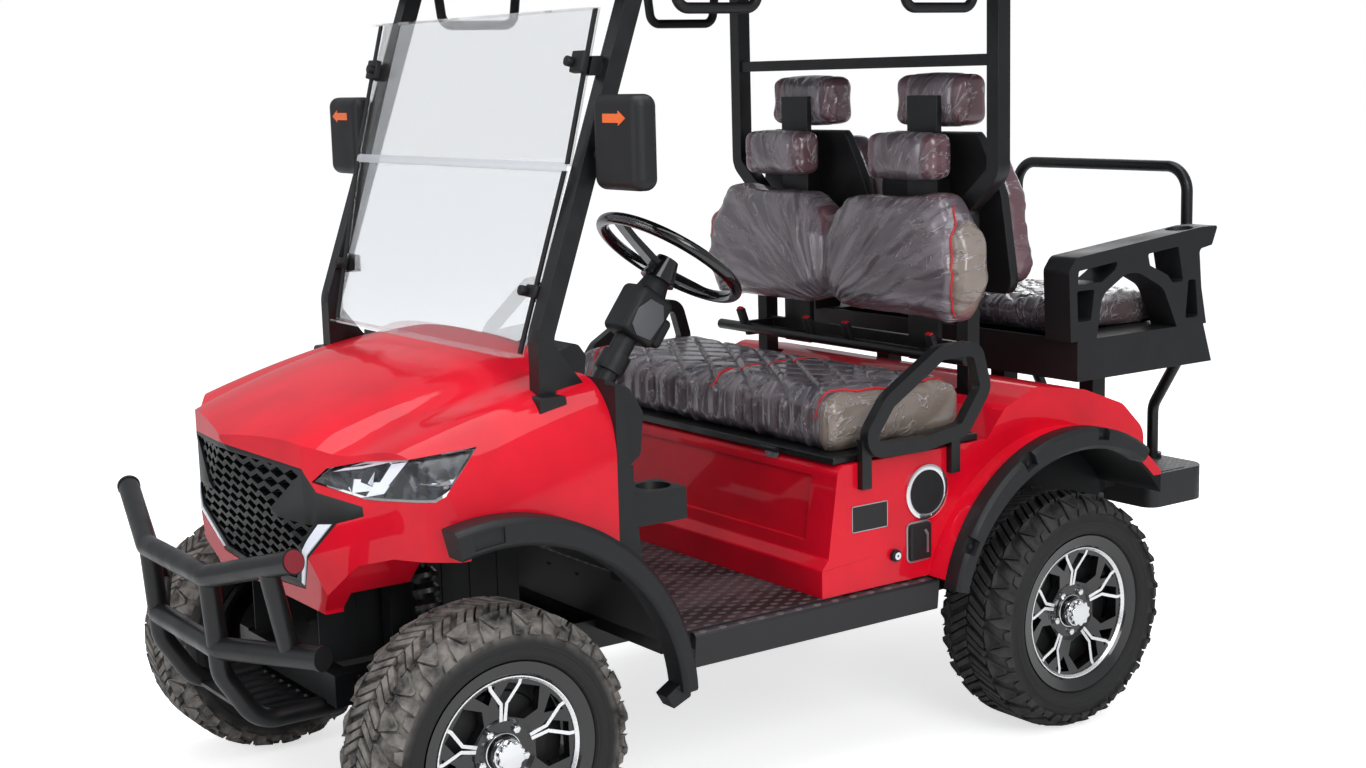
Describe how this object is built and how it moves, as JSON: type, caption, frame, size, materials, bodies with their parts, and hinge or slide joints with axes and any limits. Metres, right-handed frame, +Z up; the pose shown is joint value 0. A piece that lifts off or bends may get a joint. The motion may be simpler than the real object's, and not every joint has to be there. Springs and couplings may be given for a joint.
{
  "type": "golf cart",
  "caption": "Lifted four-seat electric golf cart with a rear-facing rear seat, roof, folding windshield, bumper, step and off-road wheels.",
  "frame": {"origin": "on the ground under the middle of the vehicle's outline", "axes": "+X forward, +Y to the driver's left, +Z up"},
  "size_m": [2.886, 1.41, 1.9299],
  "materials": {
    "frame_steel": "satin",
    "red_body": "gloss",
    "lamp_lens": "gloss",
    "black_trim": "matte",
    "floor_rubber": "matte",
    "battery_case": "matte",
    "seat_leather": "satin",
    "roof_plastic": "satin",
    "clear_glass": "gloss",
    "axle_iron": "matte",
    "tyre_rubber": "matte",
    "alloy_rim": "gloss"
  },
  "bodies": {
    "chassis": {"chassis_frame": "frame_steel", "front_cowl": "red_body", "lamps": "lamp_lens", "front_fascia": "black_trim", "grille": "black_trim", "front_flares": "black_trim", "rear_flares": "black_trim", "rear_body": "red_body", "floor": "floor_rubber", "dash": "black_trim", "battery_pack": "battery_case", "front_backrest": "seat_leather", "headrests": "seat_leather", "seat_frame": "frame_steel", "hip_restraints": "frame_steel", "front_posts": "frame_steel", "rear_roof_frame": "frame_steel", "roof": "roof_plastic", "windshield": "clear_glass", "mirrors": "black_trim", "steering_column": "black_trim", "rear_seat_box": "black_trim", "rear_backrests": "seat_leather", "backrest_shells": "black_trim", "rear_step": "black_trim", "grab_bar": "frame_steel", "front_bumper": "frame_steel", "front_suspension": "frame_steel", "rear_axle": "axle_iron"},
    "left_knuckle": {"knuckle_left": "axle_iron"},
    "right_knuckle": {"knuckle_right": "axle_iron"},
    "steering": {"steering_wheel": "black_trim"},
    "rack": {"steering_rack": "frame_steel"},
    "bench": {"bench_pan": "frame_steel", "front_cushion": "seat_leather"},
    "rear_seat_lid": {"rear_cushion": "seat_leather"},
    "charge_flap": {"charge_door": "black_trim"},
    "wheel_front_left": {"tyre_front_left": "tyre_rubber", "rim_front_left": "alloy_rim"},
    "wheel_front_right": {"tyre_front_right": "tyre_rubber", "rim_front_right": "alloy_rim"},
    "wheel_rear_left": {"tyre_rear_left": "tyre_rubber", "rim_rear_left": "alloy_rim"},
    "wheel_rear_right": {"tyre_rear_right": "tyre_rubber", "rim_rear_right": "alloy_rim"}
  },
  "joints": [
    {"name": "wheel_front_left_spin", "type": "hinge", "parent": "left_knuckle", "child": "wheel_front_left", "pos_m": [0.993, 0.555, 0.293], "axis": [0, 1, 0], "continuous": true},
    {"name": "wheel_front_right_spin", "type": "hinge", "parent": "right_knuckle", "child": "wheel_front_right", "pos_m": [0.993, -0.555, 0.293], "axis": [0, 1, 0], "continuous": true},
    {"name": "wheel_rear_left_spin", "type": "hinge", "parent": "chassis", "child": "wheel_rear_left", "pos_m": [-0.607, 0.585, 0.293], "axis": [0, 1, 0], "continuous": true},
    {"name": "wheel_rear_right_spin", "type": "hinge", "parent": "chassis", "child": "wheel_rear_right", "pos_m": [-0.607, -0.585, 0.293], "axis": [0, 1, 0], "continuous": true},
    {"name": "left_kingpin", "type": "hinge", "parent": "chassis", "child": "left_knuckle", "pos_m": [0.993, 0.455, 0.293], "axis": [0, 0, 1], "range_deg": [-30, 30]},
    {"name": "right_kingpin", "type": "hinge", "parent": "chassis", "child": "right_knuckle", "pos_m": [0.993, -0.455, 0.293], "axis": [0, 0, 1], "range_deg": [-30, 30]},
    {"name": "steering_turn", "type": "hinge", "parent": "chassis", "child": "steering", "pos_m": [0.305, 0.262, 1.213], "axis": [-0.5864, 0, 0.81], "range_deg": [-540, 540]},
    {"name": "rack_slide", "type": "slide", "parent": "chassis", "child": "rack", "axis": [0, 1, 0], "range_m": [-0.071, 0.071]},
    {"name": "bench_tip", "type": "hinge", "parent": "chassis", "child": "bench", "pos_m": [0.093, 0, 0.7543], "axis": [0, 1, 0], "range_deg": [0, 55]},
    {"name": "rear_seat_lift", "type": "hinge", "parent": "chassis", "child": "rear_seat_lid", "pos_m": [-0.765, 0, 0.943], "axis": [0, 1, 0], "range_deg": [0, 70]},
    {"name": "charge_door_swing", "type": "hinge", "parent": "chassis", "child": "charge_flap", "pos_m": [-0.191, 0.601, 0.533], "axis": [0, 0, 1], "range_deg": [0, 100]}
  ],
  "couplings": [
    {"joint": "left_kingpin", "follows": "steering_turn", "ratio": 0.0555},
    {"joint": "right_kingpin", "follows": "steering_turn", "ratio": 0.0555},
    {"joint": "rack_slide", "follows": "steering_turn", "m_per_rad": -0.0075}
  ]
}
